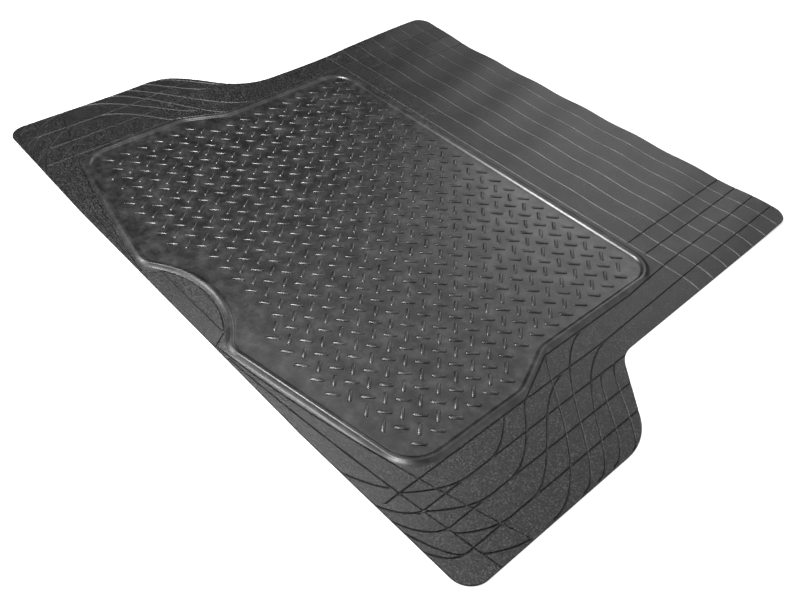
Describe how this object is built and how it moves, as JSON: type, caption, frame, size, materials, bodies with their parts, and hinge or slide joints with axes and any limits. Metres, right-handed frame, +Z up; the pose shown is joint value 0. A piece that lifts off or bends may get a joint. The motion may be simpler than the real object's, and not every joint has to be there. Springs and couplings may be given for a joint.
{
  "type": "car boot liner",
  "caption": "Moulded rubber boot liner with a raised lip round a checker-bar tray floor and a flange scored with trim grooves.",
  "frame": {"origin": "centre of the bounding box at the underside of the sheet, on the boot floor", "axes": "+X across the car to the right, +Y from the tailgate edge to the seat edge, +Z up"},
  "size_m": [1.4, 1.094, 0.007],
  "materials": {
    "moulded_rubber": "matte, fine moulded grain"
  },
  "bodies": {
    "root": {"boot_liner": "moulded_rubber"}
  },
  "joints": []
}
